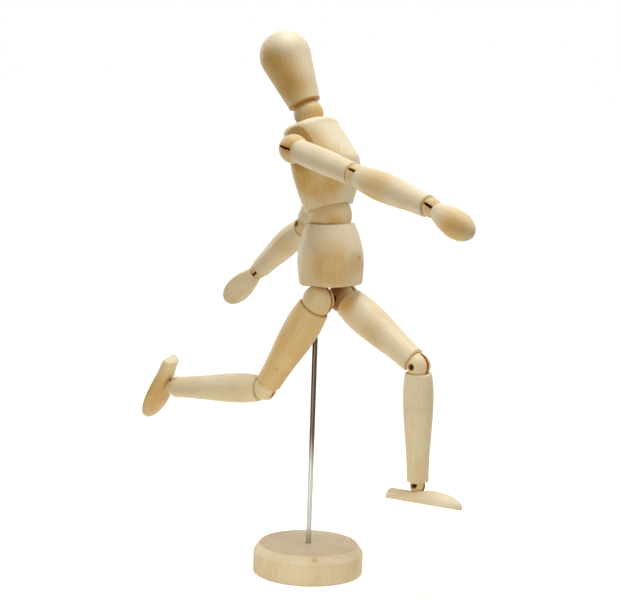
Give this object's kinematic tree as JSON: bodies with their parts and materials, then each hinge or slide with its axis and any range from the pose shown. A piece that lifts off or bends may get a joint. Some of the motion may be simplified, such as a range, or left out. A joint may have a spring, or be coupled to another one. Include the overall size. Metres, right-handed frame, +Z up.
{
  "type": "jointed lay figure",
  "caption": "Jointed wooden lay figure posed as a runner, with stiff ball joints from neck to ankles, held up by a steel rod on a round chamfered wooden base.",
  "frame": {"origin": "middle of the base's underside, on the rod's axis", "axes": "+Z up along the rod; the figure faces -Y and its left side is +X"},
  "size_m": [0.0945, 0.2505, 0.3112],
  "materials": {
    "pale_wood": "pale turned hardwood with a thin satin wax",
    "warm_wood": "the same wood, from a yellower plank",
    "base_wood": "pale turned hardwood, greyer, with growth rings on its top",
    "rod_steel": "bright drawn steel",
    "joint_steel": "plain steel, out of sight in the joints"
  },
  "bodies": {
    "stand": {"base": "base_wood", "stand_rod": "rod_steel", "pelvis": "pale_wood", "right_hip_peg": "joint_steel", "left_hip_peg": "joint_steel"},
    "waist": {"waist": "pale_wood"},
    "chest": {"chest": "pale_wood", "spine_spring": "joint_steel", "right_shoulder_peg": "joint_steel", "left_shoulder_peg": "joint_steel"},
    "neck": {"neck_ball": "pale_wood"},
    "head": {"head": "pale_wood"},
    "right_hip": {"right_hip_ball": "pale_wood", "right_hip_pin": "joint_steel"},
    "right_knee": {"right_knee_ball": "pale_wood", "right_knee_pin": "joint_steel"},
    "right_ankle": {"right_ankle_ball": "pale_wood", "right_ankle_pin": "joint_steel"},
    "right_shoulder": {"right_shoulder_ball": "pale_wood", "right_shoulder_pin": "joint_steel"},
    "right_elbow": {"right_elbow_ball": "pale_wood", "right_elbow_pin": "joint_steel"},
    "right_wrist": {"right_wrist_ball": "pale_wood", "right_wrist_pin": "joint_steel"},
    "right_thigh": {"right_thigh": "warm_wood", "right_thigh_tie": "joint_steel"},
    "right_shin": {"right_shin": "pale_wood", "right_shin_tie": "joint_steel"},
    "right_foot": {"right_foot": "pale_wood", "right_foot_tie": "joint_steel"},
    "right_upper_arm": {"right_upper_arm": "pale_wood", "right_upper_arm_tie": "joint_steel"},
    "right_forearm": {"right_forearm": "pale_wood", "right_forearm_tie": "joint_steel"},
    "right_hand": {"right_hand": "pale_wood", "right_hand_tie": "joint_steel"},
    "left_hip": {"left_hip_ball": "pale_wood", "left_hip_pin": "joint_steel"},
    "left_knee": {"left_knee_ball": "pale_wood", "left_knee_pin": "joint_steel"},
    "left_ankle": {"left_ankle_ball": "pale_wood", "left_ankle_pin": "joint_steel"},
    "left_shoulder": {"left_shoulder_ball": "pale_wood", "left_shoulder_pin": "joint_steel"},
    "left_elbow": {"left_elbow_ball": "pale_wood", "left_elbow_pin": "joint_steel"},
    "left_wrist": {"left_wrist_ball": "pale_wood", "left_wrist_pin": "joint_steel"},
    "left_thigh": {"left_thigh": "pale_wood", "left_thigh_tie": "joint_steel"},
    "left_shin": {"left_shin": "pale_wood", "left_shin_tie": "joint_steel"},
    "left_foot": {"left_foot": "pale_wood", "left_foot_tie": "joint_steel"},
    "left_upper_arm": {"left_upper_arm": "pale_wood", "left_upper_arm_tie": "joint_steel"},
    "left_forearm": {"left_forearm": "pale_wood", "left_forearm_tie": "joint_steel"},
    "left_hand": {"left_hand": "pale_wood", "left_hand_tie": "joint_steel"}
  },
  "joints": [
    {"name": "waist_bend", "type": "hinge", "parent": "stand", "child": "waist", "pos_m": [0, -0.00801, 0.20863], "axis": [1, 0, 0], "range_deg": [-13, 43]},
    {"name": "chest_turn", "type": "hinge", "parent": "waist", "child": "chest", "pos_m": [0, -0.00801, 0.20863], "axis": [0, 0.309, 0.9511], "range_deg": [-56, 34]},
    {"name": "neck_turn", "type": "hinge", "parent": "chest", "child": "neck", "pos_m": [0, 0.01022, 0.26475], "axis": [0, 0.309, 0.9511], "range_deg": [-90, 90]},
    {"name": "head_nod", "type": "hinge", "parent": "neck", "child": "head", "pos_m": [0, 0.01022, 0.26475], "axis": [0.9816, 0.1815, -0.059], "range_deg": [-19, 41]},
    {"name": "right_hip_turn", "type": "hinge", "parent": "stand", "child": "right_hip", "pos_m": [-0.01125, -0.0105, 0.1612], "axis": [0, 0.0523, 0.9986], "range_deg": [0, 16]},
    {"name": "right_thigh_swing", "type": "hinge", "parent": "right_hip", "child": "right_thigh", "pos_m": [-0.01125, -0.0105, 0.1612], "axis": [0.9877, 0.1562, -0.0082], "range_deg": [-32.5, 1.5]},
    {"name": "right_knee_turn", "type": "hinge", "parent": "right_thigh", "child": "right_knee", "pos_m": [-0.01688, 0.02224, 0.10708], "axis": [-0.0886, 0.5155, -0.8523], "range_deg": [-67, 53]},
    {"name": "right_knee_bend", "type": "hinge", "parent": "right_knee", "child": "right_shin", "pos_m": [-0.01688, 0.02224, 0.10708], "axis": [-0.996, -0.0524, 0.0719], "range_deg": [-12.5, 51.5]},
    {"name": "right_ankle_turn", "type": "hinge", "parent": "right_shin", "child": "right_ankle", "pos_m": [-0.02115, 0.09155, 0.09833], "axis": [0.0611, -0.9903, 0.1251], "range_deg": [-62, 28]},
    {"name": "right_ankle_bend", "type": "hinge", "parent": "right_ankle", "child": "right_foot", "pos_m": [-0.02115, 0.09155, 0.09833], "axis": [0.9714, 0.0878, 0.2206], "range_deg": [-78, 2]},
    {"name": "right_arm_swing", "type": "hinge", "parent": "chest", "child": "right_shoulder", "pos_m": [-0.02552, -0.00099, 0.24631], "axis": [0.9816, 0.1815, -0.059], "range_deg": [-41.5, 108.5]},
    {"name": "right_arm_raise", "type": "hinge", "parent": "right_shoulder", "child": "right_upper_arm", "pos_m": [-0.02552, -0.00099, 0.24631], "axis": [-0.0997, 0.2243, -0.9694], "range_deg": [-5, 73]},
    {"name": "right_elbow_turn", "type": "hinge", "parent": "right_upper_arm", "child": "right_elbow", "pos_m": [-0.03229, -0.05088, 0.23546], "axis": [0.1314, 0.9687, 0.2106], "range_deg": [-28, 152]},
    {"name": "right_elbow_bend", "type": "hinge", "parent": "right_elbow", "child": "right_forearm", "pos_m": [-0.03229, -0.05088, 0.23546], "axis": [0.5511, -0.248, 0.7968], "range_deg": [-60, 60]},
    {"name": "right_wrist_turn", "type": "hinge", "parent": "right_forearm", "child": "right_wrist", "pos_m": [-0.03991, -0.10706, 0.22324], "axis": [0.1314, 0.9687, 0.2106], "range_deg": [-80, 100]},
    {"name": "right_wrist_bend", "type": "hinge", "parent": "right_wrist", "child": "right_hand", "pos_m": [-0.03991, -0.10706, 0.22324], "axis": [0.3774, -0.3786, 0.8451], "range_deg": [-56, 44]},
    {"name": "left_hip_turn", "type": "hinge", "parent": "stand", "child": "left_hip", "pos_m": [0.01125, -0.0105, 0.1612], "axis": [0, 0.0523, 0.9986], "range_deg": [-25, 0]},
    {"name": "left_thigh_swing", "type": "hinge", "parent": "left_hip", "child": "left_thigh", "pos_m": [0.01125, -0.0105, 0.1612], "axis": [1, 0, 0], "range_deg": [-8, 69]},
    {"name": "left_knee_turn", "type": "hinge", "parent": "left_thigh", "child": "left_knee", "pos_m": [0.01125, -0.06549, 0.12945], "axis": [0, -0.866, -0.5], "range_deg": [-65, 55]},
    {"name": "left_knee_bend", "type": "hinge", "parent": "left_knee", "child": "left_shin", "pos_m": [0.01125, -0.06549, 0.12945], "axis": [0.9962, -0.0436, 0.0755], "range_deg": [-61, 3]},
    {"name": "left_ankle_turn", "type": "hinge", "parent": "left_shin", "child": "left_ankle", "pos_m": [0.01659, -0.06439, 0.05966], "axis": [-0.0762, -0.0158, 0.997], "range_deg": [-52, 38]},
    {"name": "left_ankle_bend", "type": "hinge", "parent": "left_ankle", "child": "left_foot", "pos_m": [0.01659, -0.06439, 0.05966], "axis": [0.9646, 0.0794, -0.2516], "range_deg": [-38, 42]},
    {"name": "left_arm_swing", "type": "hinge", "parent": "chest", "child": "left_shoulder", "pos_m": [0.02552, 0.00845, 0.24324], "axis": [0.9816, 0.1815, -0.059], "range_deg": [-145, 5]},
    {"name": "left_arm_raise", "type": "hinge", "parent": "left_shoulder", "child": "left_upper_arm", "pos_m": [0.02552, 0.00845, 0.24324], "axis": [-0.1349, 0.8787, 0.458], "range_deg": [-81, 1]},
    {"name": "left_elbow_turn", "type": "hinge", "parent": "left_upper_arm", "child": "left_elbow", "pos_m": [0.02657, 0.03237, 0.19765], "axis": [-0.0203, -0.4646, 0.8853], "range_deg": [-57, 123]},
    {"name": "left_elbow_bend", "type": "hinge", "parent": "left_elbow", "child": "left_forearm", "pos_m": [0.02657, 0.03237, 0.19765], "axis": [0.9043, -0.3862, -0.1819], "range_deg": [-60, 30]},
    {"name": "left_wrist_turn", "type": "hinge", "parent": "left_forearm", "child": "left_wrist", "pos_m": [0.03995, 0.07882, 0.16559], "axis": [-0.2308, -0.8008, 0.5527], "range_deg": [-45, 135]},
    {"name": "left_wrist_bend", "type": "hinge", "parent": "left_wrist", "child": "left_hand", "pos_m": [0.03995, 0.07882, 0.16559], "axis": [0.3855, -0.5968, -0.7037], "range_deg": [-23, 77]}
  ]
}
